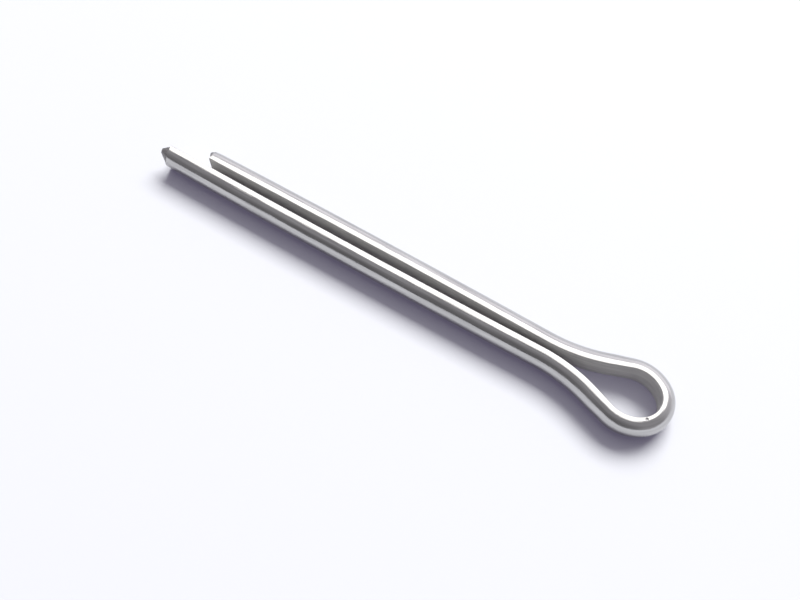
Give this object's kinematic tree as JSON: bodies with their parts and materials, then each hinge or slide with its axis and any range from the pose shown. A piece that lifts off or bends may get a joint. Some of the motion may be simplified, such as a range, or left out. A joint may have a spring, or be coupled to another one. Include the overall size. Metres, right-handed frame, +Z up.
{
  "type": "cotter pin",
  "caption": "Split cotter pin bent from half-round steel wire, with an open teardrop eye and two legs of unequal length lying side by side.",
  "frame": {"origin": "under the middle of the pin's box, on the surface that the pin lies flat on", "axes": "+X along the pin, out of the eye; +Y across the two legs, towards the shorter leg; +Z up, through the eye"},
  "size_m": [0.0809, 0.0108, 0.0045],
  "materials": {
    "steel": "drawn bright steel wire, satin to semi-bright, with fine lines along the wire and matt sheared ends"
  },
  "bodies": {
    "root": {"cotter_pin": "steel"}
  },
  "joints": []
}
